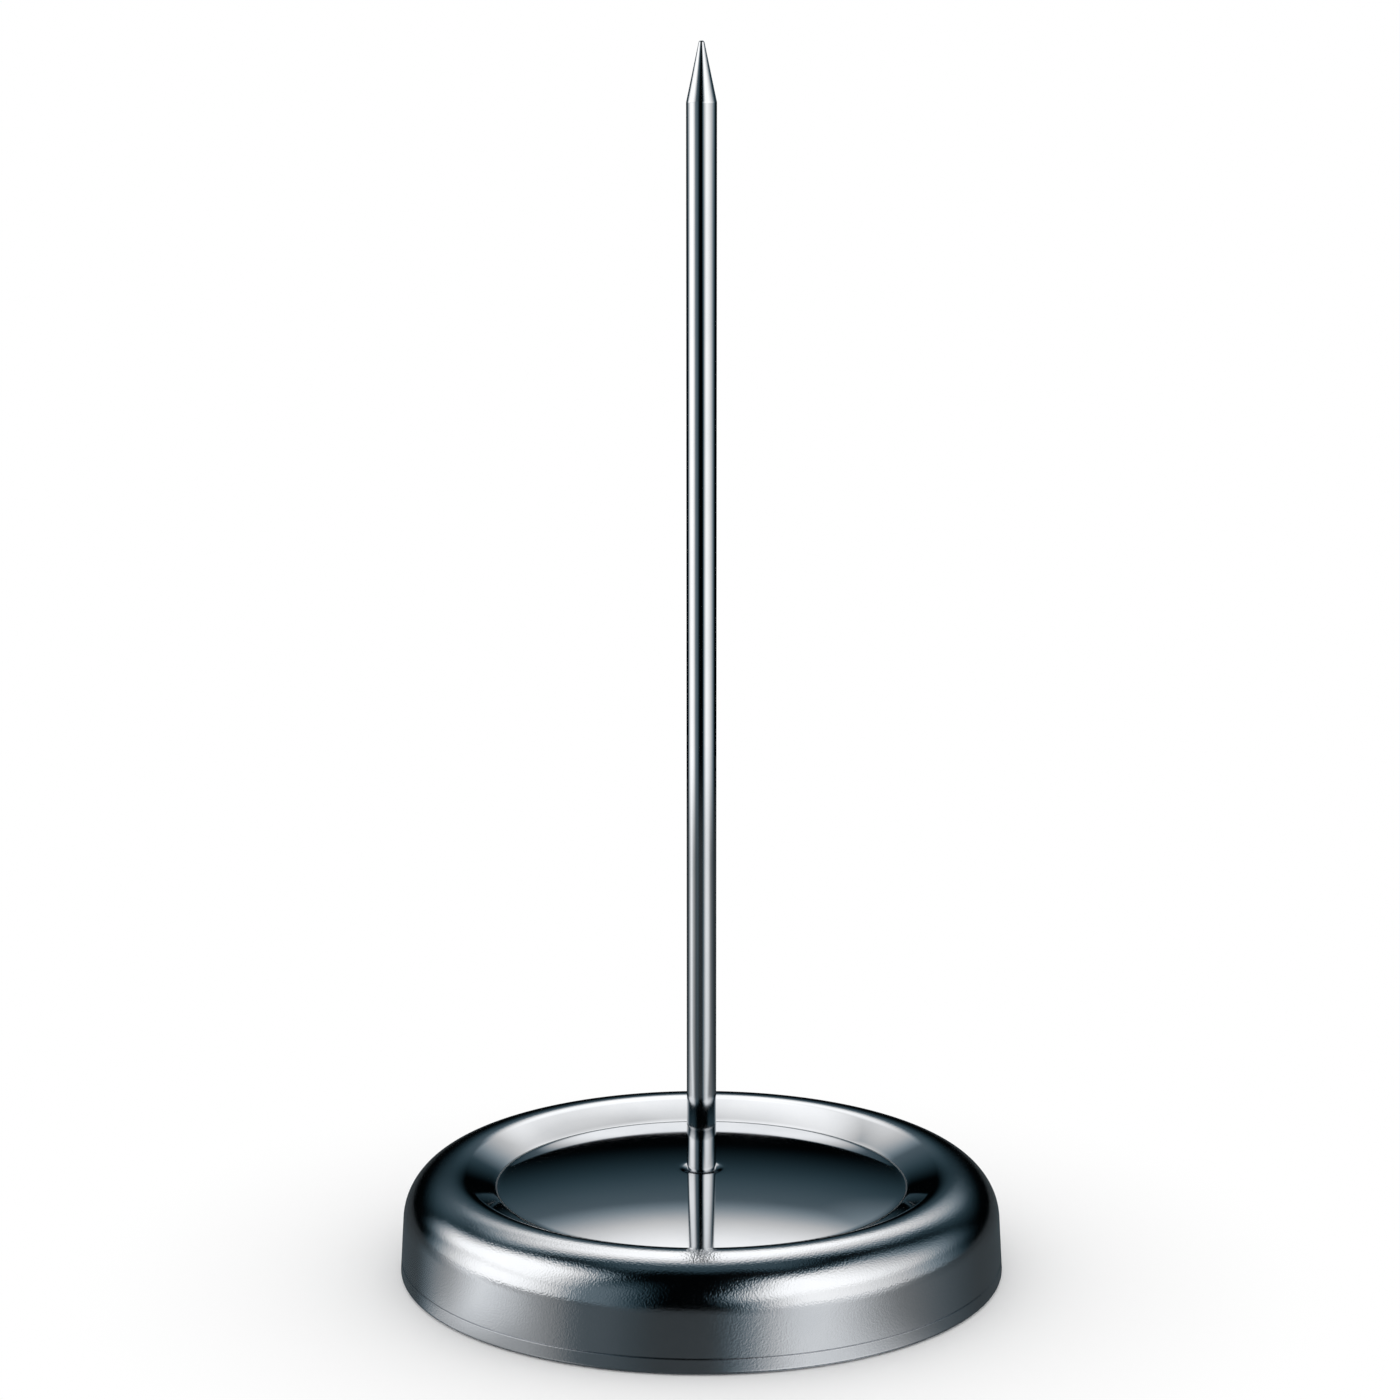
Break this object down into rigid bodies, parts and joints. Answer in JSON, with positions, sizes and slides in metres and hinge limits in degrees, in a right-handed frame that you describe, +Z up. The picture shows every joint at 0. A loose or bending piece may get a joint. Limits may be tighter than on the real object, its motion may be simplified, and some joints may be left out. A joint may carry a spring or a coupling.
{
  "type": "receipt spike",
  "caption": "Upright pointed metal spike on a weighted round base of pressed sheet, with a rolled rim and a domed floor, for spearing paper slips on a counter.",
  "frame": {"origin": "on the resting surface, at the middle of the pad's underside, below the spike", "axes": "+Z up along the spike; the object is round about it, so X and Y are free"},
  "size_m": [0.0822, 0.0822, 0.165],
  "materials": {
    "polished_steel": "bright polished",
    "plated_sheet": "mirror floor, satin skirt",
    "cast_weight": "as cast",
    "zinc_fixing": "zinc plated",
    "dark_spring": "hardened, plain",
    "plain_plate": "plain rolled",
    "pad_rubber": "matt"
  },
  "bodies": {
    "root": {"spike": "polished_steel", "base_shell": "plated_sheet", "ballast": "cast_weight", "flat_washer": "zinc_fixing", "spring_washer": "dark_spring", "hex_nut": "zinc_fixing", "bottom_plate": "plain_plate", "base_pad": "pad_rubber"}
  },
  "joints": []
}
